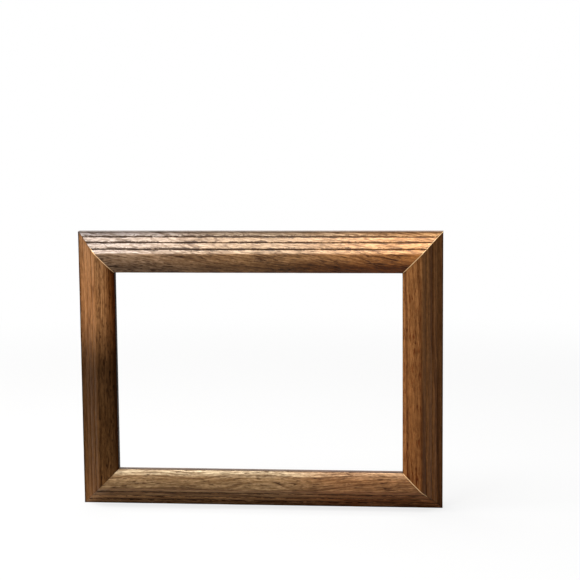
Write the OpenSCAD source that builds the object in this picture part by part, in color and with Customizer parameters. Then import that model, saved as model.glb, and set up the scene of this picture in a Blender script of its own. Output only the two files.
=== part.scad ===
// Small wooden picture frame: four mitred, reeded oak rails with a rebate behind them,
// pinned at the corners, with turn buttons and a sawtooth hanger on the back.
// Millimetres. Origin: centre of the opening, in the plane of the flat back.
// +X is to the viewer's right, +Z is up, and the face looks along -Y.

/* [Picture] */
// Width of the picture that the frame holds
picture_w = 177.8; // [130:0.1:400]
// Height of the picture
picture_h = 127; // [90:0.1:400]
// Play of the picture in the rebate, from side to side
picture_play = 3.2; // [1:0.1:5]

/* [Rail] */
// Width of a rail, from its outer side to the sight edge
rail_w = 23.3; // [22:0.1:30]
// Depth of a rail, from its flat back to its crest
rail_d = 18.4; // [17:0.1:24]
// Height of the outer side, above the back
side_h = 6.1; // [5:0.1:8]
// Radius along the front of the outer side
side_r = 0.3; // [0.1:0.05:0.8]

/* [Reeds] */
// Width of the band outside the first groove
band_w = 3.1; // [2.4:0.1:4]
// Rise of the band from the outer side to the first groove
band_rise = 1.2; // [0.6:0.1:2]
// Width of the band's outer edge, which isn't hollowed
band_edge = 0.3; // [0.2:0.05:0.6]
// Depth to which the rest of the band is hollowed
band_hollow = 0.25; // [0.05:0.05:0.4]
// Width of the outer reed
outer_reed_w = 3; // [2:0.1:4]
// Width of the middle reed
middle_reed_w = 3.4; // [2:0.1:4]
// Width of the reed along the crest
crest_reed_w = 2.3; // [2:0.1:4]
// Height of a reed's back above the line from groove to groove
reed_crown = 0.4; // [0.1:0.05:0.6]
// Radius along the crest
crest_r = 2; // [1:0.1:4]
// Width of a groove
groove_w = 0.7; // [0.3:0.05:1]
// Depth of a groove
groove_d = 0.8; // [0.2:0.05:1]

/* [Sight edge] */
// Width of the flat, from the line of the reeds to the rounding
flat_w = 4; // [3:0.1:6]
// Fall of the rounding from the flat to the sight edge
round_fall = 2.8; // [2:0.1:3.4]

/* [Rebate] */
// Width of the lip that holds the picture's edge
lip_w = 6.4; // [4:0.1:7]
// Depth of the rebate, from the flat back to the lip
rebate_d = 11; // [8:0.1:12]

/* [Corner pins] */
// Length of each leg of a V-shaped pin
pin_leg = 3.6; // [2.5:0.1:4.5]
// Thickness of a pin's strip
pin_t = 0.7; // [0.4:0.1:1]
// Depth to which a pin reaches into the wood
pin_h = 5.8; // [4:0.1:6]
// How far a pin is set below the back
pin_set = 0.3; // [0.1:0.1:0.5]
// Angle between a pin's two legs
pin_angle = 110; // [90:1:130]
// Place of the outer pin, along the mitre from the outer corner
outer_pin_at = 10.5; // [10:0.1:12]
// Place of the inner pin, along the mitre from the outer corner
inner_pin_at = 18.5; // [17:0.1:20]

/* [Turn buttons] */
// Thickness of a button
button_t = 1; // [0.6:0.1:1.6]
// Radius of a button's round end, about its screw
button_r = 4.8; // [4:0.1:5.5]
// Radius of a button's tip
tip_r = 3.4; // [2.5:0.1:4]
// Distance from a button's screw to the centre of its tip
button_reach = 9.6; // [8:0.1:11]
// Height of the raised pip on a button's tip
pip_h = 0.5; // [0.2:0.1:0.9]
// Radius of the raised pip
pip_r = 1.7; // [1:0.1:2]
// Gap under a button and under its screw's head
button_gap = 0.12; // [0.05:0.01:0.3]
// Distance of the screws from the rail's outer side
screw_in = 10; // [8:0.1:11]
// Distance of the upper and lower buttons from the frame's middle
button_out = 56; // [44:1:60]

/* [Screws] */
// Radius of a screw's shank
shank_r = 1.2; // [0.9:0.05:1.5]
// Radius of a screw's head
screw_head_r = 2.5; // [2:0.05:3]
// Height of a screw's head
screw_head_h = 1.6; // [1:0.1:2.2]
// Length of a screw under its head
screw_l = 9.5; // [7:0.1:11]
// Width of the cross slot in a screw's head
slot_w = 0.7; // [0.4:0.1:1]
// Depth of the cross slot
slot_d = 0.9; // [0.5:0.1:1.2]
// Clearance of a button round its screw, on the radius
turning_fit = 0.08; // [0.03:0.01:0.1]
// Clearance of a screw or nail in the wood, on the radius
wood_fit = 0.05; // [0.02:0.01:0.1]

/* [Hanger] */
// Length of the sawtooth hanger
hanger_l = 45; // [38:0.5:60]
// Height of the hanger's strip
hanger_h = 9.5; // [7:0.1:11]
// Thickness of the strip
hanger_t = 0.9; // [0.6:0.1:1.2]
// Length of each nailed end
hanger_foot = 8; // [6:0.1:9]
// Length of each sloping part between an end and the raised middle
hanger_ramp = 3; // [2:0.1:4]
// Height of the raised middle's inner side above the wood
hanger_lift = 1.6; // [1.2:0.1:2.5]
// Distance of the hanger's upper edge from the rail's outer side
hanger_in = 4.2; // [3.5:0.1:5]
// Distance from one tooth to the next
tooth_pitch = 2.4; // [2:0.1:4]
// Depth of the teeth
tooth_d = 1.6; // [1:0.1:2.5]

/* [Hanger nails] */
// Radius of a nail's shank
nail_r = 0.65; // [0.5:0.05:0.9]
// Radius of a nail's head
nail_head_r = 1.5; // [1.2:0.05:2]
// Height of a nail's head
nail_head_h = 0.8; // [0.5:0.1:1.2]
// Length of a nail under its head
nail_l = 9; // [7:0.1:11]

/* [Hidden] */
$fn = 48;

// Width and height of the space for the picture, of the opening, and of the whole frame
rebate_w = picture_w + picture_play;
rebate_h = picture_h + picture_play;
sight_w = rebate_w - 2 * lip_w;
sight_h = rebate_h - 2 * lip_w;
frame_w = sight_w + 2 * rail_w;
frame_h = sight_h + 2 * rail_w;

// Each corner of a rail's section is [distance in from the outer side, height above the back]
reeds_w = outer_reed_w + middle_reed_w + crest_reed_w;
reeds_rise = rail_d - side_h - band_rise;
side_top = [side_r, side_h];
groove_1 = [band_w, side_h + band_rise];
groove_2 = groove_1 + outer_reed_w / reeds_w * [reeds_w, reeds_rise];
groove_3 = groove_2 + middle_reed_w / reeds_w * [reeds_w, reeds_rise];
crest = groove_1 + [reeds_w, reeds_rise];
flat_end = crest + [flat_w, 0];
sight_edge = [rail_w, flat_end[1] - round_fall];
GROOVES = [groove_1, groove_2, groove_3];
hollow_start = side_top + band_edge / norm(groove_1 - side_top) * (groove_1 - side_top);

// The crest is the corner where the line of the reeds meets the flat, before its rounding
reeds_tilt = atan2(reeds_rise, reeds_w);
crest_run = crest_r * tan(reeds_tilt / 2);
crest_start = crest - crest_run * [cos(reeds_tilt), sin(reeds_tilt)];
crest_end = crest + [crest_run, 0];

// The back of the wood lies at y = 0, and the hardware stands behind it
button_y = button_gap;
head_y = button_y + button_t + button_gap;
hanger_z = frame_h / 2 - hanger_in - hanger_h;
nail_x = hanger_l / 2 - hanger_foot / 2;
nail_z = hanger_z + hanger_h / 2;

// Extra length of a cutting shape past the face that it cuts
over = 1;

// Name, side along X and side along Z of each corner
CORNERS = [
    ["top_left", -1, 1],
    ["top_right", 1, 1],
    ["bottom_left", -1, -1],
    ["bottom_right", 1, -1]
];

// Name, place of the screw [x, z], and the way that the open button's tip points,
// as an angle about Y from +X: 0 is +X, 90 is -Z, 180 is -X
BUTTONS = [
    ["top_left", [-button_out, frame_h / 2 - screw_in], 0],
    ["top_right", [button_out, frame_h / 2 - screw_in], 180],
    ["bottom_left", [-button_out, -frame_h / 2 + screw_in], 0],
    ["bottom_right", [button_out, -frame_h / 2 + screw_in], 180],
    ["left", [-frame_w / 2 + screw_in, 0], 90],
    ["right", [frame_w / 2 - screw_in, 0], 90]
];

// A bar of the given length whose section is drawn by the module's children
module bar(length) {
    linear_extrude(length, center = true) children();
}

// The part of a circle that stands out beyond the line from p to q, on its left side
module bow(p, q, rise) {
    along = q - p;
    chord = norm(along);
    out = [-along[1], along[0]] / chord;
    r = (chord * chord / 4 + rise * rise) / (2 * rise);
    middle = (p + q) / 2;
    intersection() {
        translate(middle + out * (rise - r)) circle(r);
        polygon([p - out * rise, q - out * rise, q + out * 2 * rise, p + out * 2 * rise]);
    }
}

// A V-shaped groove at point p, cut square to the line of the reeds
module groove(p) {
    translate(p) rotate(reeds_tilt)
        polygon([[-groove_w, groove_d], [0, -groove_d], [groove_w, groove_d]]);
}

// The rounding that falls from the flat to the sight edge
module rounding() {
    wide = rail_w - flat_end[0];
    r = (wide * wide + round_fall * round_fall) / (2 * round_fall);
    intersection() {
        translate([flat_end[0], flat_end[1] - r]) circle(r);
        translate([flat_end[0], rebate_d]) square([wide, rail_d]);
    }
}

// A square-ended rail along Z, with its outer side at x = 0 and its back at y = 0
module moulding(length) {
    difference() {
        union() {
            bar(length) polygon([
                [0, 0], [0, side_h - side_r], side_top,
                groove_1, groove_2, groove_3, crest_start, crest_end, flat_end,
                sight_edge, [rail_w, rebate_d],
                [rail_w - lip_w, rebate_d], [rail_w - lip_w, 0]
            ]);
            bar(length) translate([side_r, side_h - side_r]) circle(side_r);
            bar(length) bow(groove_1, groove_2, reed_crown);
            bar(length) bow(groove_2, groove_3, reed_crown);
            bar(length) translate(crest_end - [0, crest_r]) circle(crest_r);
            bar(length) rounding();
        }
        bar(length + 2 * over) bow(groove_1, hollow_start, band_hollow);
        for (p = GROOVES) bar(length + 2 * over) groove(p);
    }
}

// A rail on the left, its length along Z, with its ends cut at 45 degrees
module plain_rail(length, half_span) {
    translate([-half_span, 0, 0]) intersection() {
        mirror([0, 1, 0]) moulding(length);
        rotate([90, 0, 0]) translate([0, 0, -over]) linear_extrude(rail_d + 2 * over)
            polygon([
                [0, -length / 2], [rail_w + over, rail_w + over - length / 2],
                [rail_w + over, length / 2 - rail_w - over], [0, length / 2]
            ]);
    }
}

// A rail at its place: turn is the angle about Y from the left side
module rail_at(turn, length, half_span) {
    color("saddlebrown") difference() {
        rotate([0, turn, 0]) plain_rail(length, half_span);
        for (c = CORNERS) {
            corner_pin_shape(c, outer_pin_at, pin_set + over);
            corner_pin_shape(c, inner_pin_at, pin_set + over);
        }
        for (b = BUTTONS) pilot(b[1][0], b[1][1], shank_r + wood_fit, screw_l - head_y + over);
        for (side = [-1, 1]) pilot(side * nail_x, nail_z, nail_r + wood_fit, nail_l - hanger_t + over);
    }
}

// A hole of radius r and the given depth, bored forward from the back
module pilot(x, z, r, depth) {
    translate([x, over, z]) rotate([90, 0, 0]) cylinder(h = depth + over, r = r);
}

// One bent strip in the form of a V, its bend on the mitre, and its legs towards the outer corner.
// It starts above the back by lift and ends at its full depth.
module corner_pin_shape(corner, at, lift) {
    leg = pin_leg * [-cos(pin_angle / 2), sin(pin_angle / 2)];
    wide = pin_t / 2 / sin(pin_angle / 2);
    mitre_turn = atan2(-corner[2], -corner[1]);
    translate([corner[1] * frame_w / 2, -pin_set, corner[2] * frame_h / 2])
        rotate([90, 0, 0]) translate([0, 0, -lift]) linear_extrude(pin_h + lift) rotate(mitre_turn)
            translate([at, 0]) polygon([
                [wide, 0], [leg[0] + wide, leg[1]], [leg[0] - wide, leg[1]],
                [-wide, 0], [leg[0] - wide, -leg[1]], [leg[0] + wide, -leg[1]]
            ]);
}

module corner_pin(corner, at) {
    color("silver") corner_pin_shape(corner, at, 0);
}

// The flat outline of a button, its screw at the origin and its tip along +X:
// two circles and the two straight sides that touch both
module button_outline() {
    lean = asin((button_r - tip_r) / button_reach);
    touch = [sin(lean), cos(lean)];
    circle(button_r);
    translate([button_reach, 0]) circle(tip_r);
    polygon([
        button_r * touch, button_r * [touch[0], -touch[1]],
        [button_reach + tip_r * touch[0], -tip_r * touch[1]],
        [button_reach + tip_r * touch[0], tip_r * touch[1]]
    ]);
}

module turn_button(place, point) {
    pip_ball = (pip_r * pip_r + pip_h * pip_h) / (2 * pip_h);
    color("lightgray") translate([place[0], button_y, place[1]]) rotate([0, point, 0])
        rotate([-90, 0, 0]) difference() {
            union() {
                linear_extrude(button_t) button_outline();
                translate([button_reach, 0, button_t]) intersection() {
                    translate([0, 0, pip_h - pip_ball]) sphere(pip_ball);
                    translate([0, 0, -button_t / 2]) cylinder(h = button_t + pip_h, r = tip_r);
                }
            }
            translate([0, 0, -over]) cylinder(h = button_t + 2 * over, r = shank_r + turning_fit);
        }
}

// A round-headed screw, its shank along -Y and its pointed end in the wood
module button_screw(place) {
    point_l = 2 * shank_r;
    head_ball = (screw_head_r * screw_head_r + screw_head_h * screw_head_h) / (2 * screw_head_h);
    color("lightgray") translate([place[0], head_y, place[1]]) rotate([-90, 0, 0]) {
        difference() {
            intersection() {
                translate([0, 0, screw_head_h - head_ball]) sphere(head_ball);
                cylinder(h = screw_head_h, r = screw_head_r);
            }
            for (turn = [0, 90]) rotate(turn)
                translate([-screw_head_r, -slot_w / 2, screw_head_h - slot_d])
                    cube([2 * screw_head_r, slot_w, slot_d + over]);
        }
        translate([0, 0, point_l - screw_l]) cylinder(h = screw_l - point_l, r = shank_r);
        translate([0, 0, -screw_l]) cylinder(h = point_l, r1 = 0, r2 = shank_r);
    }
}

// The strip's section seen from above: two flat ends and a raised middle
module hanger_strip() {
    end = hanger_l / 2;
    foot = end - hanger_foot;
    raised = foot - hanger_ramp;
    polygon([
        [-end, 0], [-foot, 0], [-raised, hanger_lift], [raised, hanger_lift], [foot, 0], [end, 0],
        [end, hanger_t], [foot, hanger_t], [raised, hanger_lift + hanger_t],
        [-raised, hanger_lift + hanger_t], [-foot, hanger_t], [-end, hanger_t]
    ]);
}

// The teeth are cut in the raised middle's lower edge, and one notch is on the centre line
module hanger() {
    raised = hanger_l / 2 - hanger_foot - hanger_ramp;
    last = floor((raised - tooth_pitch / 2) / tooth_pitch);
    color("goldenrod") difference() {
        translate([0, 0, hanger_z]) linear_extrude(hanger_h) hanger_strip();
        for (i = [-last : last]) translate([i * tooth_pitch, 0, hanger_z]) rotate([90, 0, 0])
            translate([0, 0, -hanger_lift - hanger_t - over]) linear_extrude(hanger_t + 2 * over)
                polygon([[-tooth_pitch / 2, 0], [0, tooth_d], [tooth_pitch / 2, 0], [0, -over]]);
        for (side = [-1, 1]) translate([side * nail_x, -over, nail_z]) rotate([-90, 0, 0])
            cylinder(h = hanger_t + 2 * over, r = nail_r + wood_fit);
    }
}

module hanger_nail(side) {
    point_l = 2 * nail_r;
    color("goldenrod") translate([side * nail_x, hanger_t, nail_z]) rotate([-90, 0, 0]) {
        cylinder(h = nail_head_h, r1 = nail_head_r, r2 = nail_head_r * 0.7);
        translate([0, 0, point_l - nail_l]) cylinder(h = nail_l - point_l, r = nail_r);
        translate([0, 0, -nail_l]) cylinder(h = point_l, r1 = 0, r2 = nail_r);
    }
}

rail_at(90, frame_w, frame_h / 2);  // top_rail
rail_at(-90, frame_w, frame_h / 2);  // bottom_rail
rail_at(0, frame_h, frame_w / 2);  // left_stile
rail_at(180, frame_h, frame_w / 2);  // right_stile
for (c = CORNERS) {
    corner_pin(c, outer_pin_at);
    corner_pin(c, inner_pin_at);
}
hanger();
hanger_nail(-1);  // hanger_nail_left
hanger_nail(1);  // hanger_nail_right
for (b = BUTTONS) {
    turn_button(b[1], b[2]);
    button_screw(b[1]);
}
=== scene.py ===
# %% [markdown]
# # A small oak picture frame
# The real object is four lengths of one reeded oak moulding, mitred and pinned into a frame,
# stained dark and varnished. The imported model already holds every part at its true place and
# size, so this lesson dresses it: it models each part again with softer, truer edges, gives it
# a finish, and lights it. The frame's sizes are in millimetres and turned into metres by MM. The
# camera, the lamps and the floor are placed in metres.

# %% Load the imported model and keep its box
import math

import bmesh
import bpy
from mathutils import Matrix, Quaternion, Vector, noise


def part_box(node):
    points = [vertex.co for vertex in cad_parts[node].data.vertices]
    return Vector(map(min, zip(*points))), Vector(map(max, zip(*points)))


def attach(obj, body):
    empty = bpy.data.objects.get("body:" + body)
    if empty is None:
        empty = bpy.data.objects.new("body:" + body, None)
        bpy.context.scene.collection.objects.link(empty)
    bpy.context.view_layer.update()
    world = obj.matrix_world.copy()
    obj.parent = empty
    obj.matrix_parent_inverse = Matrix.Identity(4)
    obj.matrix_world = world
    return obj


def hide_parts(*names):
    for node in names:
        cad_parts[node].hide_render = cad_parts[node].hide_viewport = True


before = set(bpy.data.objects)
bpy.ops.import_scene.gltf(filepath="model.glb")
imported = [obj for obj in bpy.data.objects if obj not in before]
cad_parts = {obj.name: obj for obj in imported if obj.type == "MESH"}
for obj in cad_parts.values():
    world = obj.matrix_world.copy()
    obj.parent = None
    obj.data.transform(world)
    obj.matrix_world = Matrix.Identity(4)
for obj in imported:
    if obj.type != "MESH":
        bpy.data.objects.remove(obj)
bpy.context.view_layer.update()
MM = 0.001
scene = bpy.context.scene

# %% [markdown]
# ## Camera
# The photo was taken from a little right of the frame and a little above it. The camera's place
# and lens come from fitting a pinhole camera to the frame's eight corners. Three Euler angles
# could turn it, but an aim and a small roll read more plainly. The lamps are aimed the same way.

# %% Make the camera
PHOTO_SIDE = 580
CAMERA_PLACE = Vector((0.1130, -0.9703, 0.1763))
CAMERA_TARGET = Vector((0.0175, 0.0, 0.0468))
CAMERA_ROLL = math.radians(-0.535)
LENS = 103.62
SENSOR = 36


def aimed_object(name, data, place, target=(0, 0, 0)):
    """A camera or a lamp at one place, looking at another."""
    made = bpy.data.objects.new(name, data)
    scene.collection.objects.link(made)
    made.location = place
    made.rotation_mode = "QUATERNION"
    made.rotation_quaternion = (Vector(target) - Vector(place)).to_track_quat("-Z", "Y")
    return made


def photo_pixel(place):
    """The pixel of the photo where the camera sees a point."""
    bpy.context.view_layer.update()
    seen = camera.matrix_world.inverted() @ Vector(place)
    focal = LENS / SENSOR * PHOTO_SIDE
    middle = PHOTO_SIDE / 2
    return round(middle - focal * seen.x / seen.z), round(middle + focal * seen.y / seen.z)


camera_data = bpy.data.cameras.new("camera")
camera_data.lens = LENS
camera_data.sensor_width = SENSOR
camera = aimed_object("camera", camera_data, CAMERA_PLACE, CAMERA_TARGET)
camera.rotation_quaternion = camera.rotation_quaternion @ Quaternion((0, 0, 1), CAMERA_ROLL)
scene.camera = camera
print("the frame's upper left corner is seen at", photo_pixel((-0.1074, -0.0058, 0.082)))

# %% [markdown]
# ## Small helpers
# Every piece is drawn in a bmesh, made an object whose origin stays at the world's origin, and
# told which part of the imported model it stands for. Pockets are cut with a Boolean modifier, whose
# result is kept as a plain mesh. A long flat face beside a small pocket gets odd shading if its
# normals are blended, so faces that look straight forwards or back keep their own.

# %% Turn a bmesh into a finished piece
SMOOTH_ANGLE = math.radians(32)
FLAT_SHADED = 0.9999


def mesh_object(name, drawing):
    """An object that holds a bmesh's shape, shaded smooth but for its sharp edges."""
    bmesh.ops.recalc_face_normals(drawing, faces=drawing.faces)
    mesh = bpy.data.meshes.new(name)
    drawing.to_mesh(mesh)
    drawing.free()
    mesh.shade_smooth()
    mesh.set_sharp_from_angle(angle=SMOOTH_ANGLE)
    made = bpy.data.objects.new(name, mesh)
    scene.collection.objects.link(made)
    return made


def finish_piece(piece, node, body, material):
    """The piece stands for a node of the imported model, and takes its body."""
    piece.data.materials.clear()
    piece.data.materials.append(material)
    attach(piece, body)
    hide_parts(node)
    print(piece.name, len(piece.data.vertices), "points, rides on", body)


def cut_away(piece, cutter):
    """Cuts one object's shape out of another, and throws the cutter away."""
    cut = piece.modifiers.new("cut", "BOOLEAN")
    cut.operation = "DIFFERENCE"
    cut.solver = "EXACT"
    cut.object = cutter
    bpy.context.view_layer.update()
    shape = piece.evaluated_get(bpy.context.evaluated_depsgraph_get())
    piece.modifiers.clear()
    cut_mesh = bpy.data.meshes.new_from_object(shape)
    uncut_mesh = piece.data
    piece.data = cut_mesh
    cut_mesh.name = piece.name
    cut_mesh.set_sharp_from_angle(angle=SMOOTH_ANGLE)
    for face in cut_mesh.polygons:
        face.use_smooth = abs(face.normal.y) < FLAT_SHADED
    bpy.data.meshes.remove(uncut_mesh)
    bpy.data.objects.remove(cutter)


# %% [markdown]
# ## The moulding's section
# All four lengths share one section, which runs from the outer side over a hollow band, three
# reeds and a flat to the rounded sight edge, and back along the rebate. It could be typed as a long
# list of points, but the real cutter's arcs are plain circles, so each arc is spun from one point.
# It is drawn for the top rail: u is the distance in from the outer side, and v the height above
# the flat back.

# %% Sizes of the frame and its moulding
FRAME_W = 214.8
FRAME_H = 164.0
RAIL_W = 23.3
RAIL_D = 18.4
SIDE_H = 6.1
SIDE_R = 0.3
BAND_EDGE = 0.3
BAND_HOLLOW = 0.25
LIP_W = 6.4
REBATE_D = 11.0
REED_CROWN = 0.4
CREST_R = 2.0
GROOVE_W = 0.7
GROOVE_D = 0.8
GROOVES = [Vector((3.1, 7.3)), Vector((6.1, 11.128)), Vector((9.5, 15.466))]
CREST = Vector((11.8, RAIL_D))
FLAT_END = Vector((15.8, RAIL_D))
SIGHT_EDGE = Vector((RAIL_W, 15.6))
SLOPE = (CREST - GROOVES[0]).normalized()
OUTWARD = Vector((-SLOPE.y, SLOPE.x))
TILT = math.atan2(SLOPE.y, SLOPE.x)
MID_GROOVES = [groove - OUTWARD * GROOVE_D / 2 for groove in GROOVES]


def cap_radius(half, rise):
    """The radius of an arc that rises so far over half of its chord."""
    return (half * half + rise * rise) / (2 * rise)


def arc_over(start, end, rise):
    """Centre, radius and half the angle of the arc that rises over a line."""
    half = (end - start).length / 2
    radius = cap_radius(half, rise)
    along = (end - start) / (2 * half)
    centre = (start + end) / 2 + Vector((-along.y, along.x)) * (rise - radius)
    return centre, radius, math.asin(half / radius)


print("the face slopes at", round(math.degrees(TILT), 1), "degrees")

# %% [markdown]
# The outline grows as under a pencil: a straight step extrudes the last point, and an arc spins
# it round a centre. The metal pieces use the same steps.

# %% Straight steps and arcs
def points_of(result, key="geom"):
    return [g for g in result[key] if isinstance(g, bmesh.types.BMVert)]


def step_to(drawing, last, goal):
    """Extrudes one point to a place, and gives the new point."""
    point = bmesh.ops.extrude_vert_indiv(drawing, verts=[last])["verts"][0]
    point.co = goal
    return point


def arc_from(drawing, start, centre, axis, angle, steps):
    """Spins one point round a centre, and gives the arc's last point."""
    spun = bmesh.ops.spin(
        drawing, geom=[start], cent=centre, axis=axis, angle=angle, steps=steps, use_merge=False
    )
    return points_of(spun, "geom_last")[0]


# %% [markdown]
# A section keeps its drawing and the last point of it. Each arc has as many steps as it needs to
# look round.

# %% Draw the section
STEPS = {"side": 4, "band": 7, "reed": 10, "crest": 8, "sight": 14}


class Section:
    """A chain of points across the moulding, drawn at one end of a rail."""

    def __init__(self, drawing, end_x, half_span):
        self.drawing = drawing
        self.end_x = end_x
        self.half_span = half_span
        self.last = None

    def place(self, spot):
        """Where a spot (u, v) of the section lies in space."""
        spot = Vector(spot)
        return Vector((self.end_x, -spot.y, self.half_span - spot.x)) * MM

    def line_to(self, spot):
        """Adds a straight step."""
        if self.last is None:
            self.last = self.drawing.verts.new(self.place(spot))
        else:
            self.last = step_to(self.drawing, self.last, self.place(spot))

    def turn_about(self, centre, angle, steps):
        """Adds an arc round a centre."""
        centre = self.place(centre)
        self.last = arc_from(self.drawing, self.last, centre, (1, 0, 0), angle, steps)

    def hollow(self, start, end):
        """Adds the hollow of the band, as far as the near shoulder of the first groove."""
        centre, radius, half = arc_over(end, start, BAND_HOLLOW)
        self.line_to(start)
        self.turn_about(centre, GROOVE_W / 2 / radius - 2 * half, STEPS["band"])

    def groove(self, at):
        """Adds a groove's bottom."""
        self.line_to(at - OUTWARD * GROOVE_D)

    def reed(self, start, end):
        """Adds one reed, from the shoulder of its groove to the next shoulder."""
        centre, radius, half = arc_over(start, end, REED_CROWN)
        turn = half - GROOVE_W / 2 / radius
        self.line_to(centre + radius * (math.cos(turn) * OUTWARD - math.sin(turn) * SLOPE))
        self.turn_about(centre, 2 * turn, STEPS["reed"])


# %% [markdown]
# The straight runs of the slope and the flat are cut into a few steps, so that the wood can be
# roughened there later. The last edge closes the outline, and one face fills it.

# %% Go round the section
def draw_section(drawing, end_x, half_span):
    """Draws the whole section at one end of a rail, and gives its face."""
    chain = Section(drawing, end_x, half_span)
    chain.line_to((0, 0))
    chain.line_to((0, SIDE_H - SIDE_R))
    chain.turn_about((SIDE_R, SIDE_H - SIDE_R), math.radians(90), STEPS["side"])
    side_top = Vector((SIDE_R, SIDE_H))
    chain.hollow(side_top + (GROOVES[0] - side_top).normalized() * BAND_EDGE, GROOVES[0])
    for groove, next_groove in zip(GROOVES, GROOVES[1:]):
        chain.groove(groove)
        chain.reed(groove, next_groove)
    chain.groove(GROOVES[-1])
    crest_run = CREST_R * math.tan(TILT / 2)
    slope_start = GROOVES[-1] + SLOPE * GROOVE_W / 2
    crest_start = CREST - SLOPE * crest_run
    for share in (0, 1 / 3, 2 / 3, 1):
        chain.line_to(slope_start.lerp(crest_start, share))
    chain.turn_about(CREST + Vector((crest_run, -CREST_R)), TILT, STEPS["crest"])
    for share in (1 / 4, 1 / 2, 3 / 4, 1):
        chain.line_to((CREST + Vector((crest_run, 0))).lerp(FLAT_END, share))
    wide = SIGHT_EDGE.x - FLAT_END.x
    radius = cap_radius(wide, FLAT_END.y - SIGHT_EDGE.y)
    chain.turn_about(FLAT_END - Vector((0, radius)), math.asin(wide / radius), STEPS["sight"])
    for spot in ((RAIL_W, REBATE_D), (RAIL_W - LIP_W, REBATE_D), (RAIL_W - LIP_W, 0)):
        chain.line_to(spot)
    first = min(drawing.verts, key=lambda p: (p.co - chain.place((0, 0))).length)
    drawing.edges.new((chain.last, first))
    return bmesh.ops.contextual_create(drawing, geom=drawing.edges[:])["faces"][0]


trial = bmesh.new()
section_face = draw_section(trial, 0, FRAME_H / 2)
area = round(section_face.calc_area() / MM**2)
print("the section has", len(trial.verts), "points and", area, "square mm")
trial.free()

# %% [markdown]
# ## The four rails
# A rail is the section drawn out along its length, with its long edges eased as sandpaper leaves
# them, and both ends cut at 45 degrees. Cutting a straight bar with a plane is how the real one
# is made too, and it keeps the mitres exact. First come the small steps that all pieces use.

# %% Steps for rails and other pieces
def put_at(drawing, place):
    bmesh.ops.translate(drawing, verts=drawing.verts, vec=place)


def turn_about_y(drawing, angle):
    """Turns a drawing about Y, with the angle in degrees."""
    turn = Matrix.Rotation(math.radians(angle), 3, "Y")
    bmesh.ops.rotate(drawing, verts=drawing.verts, cent=(0, 0, 0), matrix=turn)


def ease(drawing, edges, width):
    """Rounds sharp edges a little, with the width in mm."""
    bmesh.ops.bevel(
        drawing, geom=edges, offset=width * MM, segments=2, profile=0.5, affect="EDGES",
        material=-1,
    )


def slice_across(drawing, place, across, clear_outer=False):
    """Cuts a drawing with a plane, and gives the edges of the cut."""
    parts = drawing.verts[:] + drawing.edges[:] + drawing.faces[:]
    cut = bmesh.ops.bisect_plane(
        drawing, geom=parts, plane_co=place, plane_no=across, clear_outer=clear_outer
    )
    return [g for g in cut["geom_cut"] if isinstance(g, bmesh.types.BMEdge)]


def long_edges(drawing):
    return [e for e in drawing.edges if abs(e.verts[0].co.x - e.verts[1].co.x) > MM / 10]


# %% [markdown]
# Each eased edge is named by its point of the section and its width. The rings of points across
# the rail, a millimetre apart, are for the roughening in the next step.

# %% Draw one rail
EASED = [
    ((0, 0), 0.25), ((RAIL_W - LIP_W, 0), 0.25), ((RAIL_W, REBATE_D), 0.2), (SIGHT_EDGE, 0.3),
]
RING_STEP = 1.0
MITRE_EASE = 0.12


def draw_rail(length, half_span):
    """A rail in the top rail's pose: along X, its outer side at the top."""
    drawing = bmesh.new()
    chain = Section(drawing, -length / 2, half_span)
    face = draw_section(drawing, -length / 2, half_span)
    grown = bmesh.ops.extrude_face_region(drawing, geom=[face])
    bmesh.ops.translate(drawing, verts=points_of(grown), vec=(length * MM, 0, 0))
    for spot, width in EASED:
        goal = chain.place(spot)
        sharp = [e for e in long_edges(drawing) if (e.verts[0].co.yz - goal.yz).length < MM / 50]
        ease(drawing, sharp, width)
    bmesh.ops.subdivide_edges(
        drawing, edges=long_edges(drawing), cuts=round(length / RING_STEP), use_grid_fill=True
    )
    for end in (-1, 1):
        corner = Vector((end * length / 2, 0, half_span)) * MM
        rim = slice_across(drawing, corner, Vector((end, 0, -1)).normalized(), clear_outer=True)
        cap = bmesh.ops.contextual_create(drawing, geom=rim)["faces"]
        rim_points = list({p for e in rim for p in e.verts})
        bmesh.ops.inset_region(drawing, faces=cap, thickness=MITRE_EASE * MM, use_even_offset=True)
        bmesh.ops.translate(drawing, verts=rim_points, vec=(-end * MITRE_EASE * MM, 0, 0))
    return drawing


trial = draw_rail(FRAME_W, FRAME_H / 2)
print("a plain rail has", len(trial.verts), "points")
trial.free()

# %% [markdown]
# ## The reeds and grooves wander
# Open-grained oak tears under the cutter, so no groove of the real frame is quite straight. The
# points sink a little along their normals by a smooth noise, the grooves more than the reeds, and
# the last stretch before a mitre stays true, so that the two rails still meet.

# %% Let the wood wander
WANDER = 0.07
GROOVE_WANDER = 0.22
GROOVE_REACH = 0.75
BROAD_L = 9
BROAD_W = 3
FINE_L = 2.6
FINE_W = 1.5
REBATE_RIM = 0.5
TRUE_END = 0.3
TRUE_STRETCH = 1.2


def mitre_distance(place, length, half_span):
    """Distance from a point of the top rail's pose to the nearer mitre's plane, in mm."""
    return (length / 2 - half_span - abs(place.x) / MM + place.z / MM) / math.sqrt(2)


def groove_share(place, half_span):
    """1 at the bottom of a groove, and 0 away from it."""
    spot = Vector((half_span - place.z / MM, -place.y / MM))
    near = min((spot - groove).length for groove in MID_GROOVES)
    return max(0.0, 1 - near / GROOVE_REACH)


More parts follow.
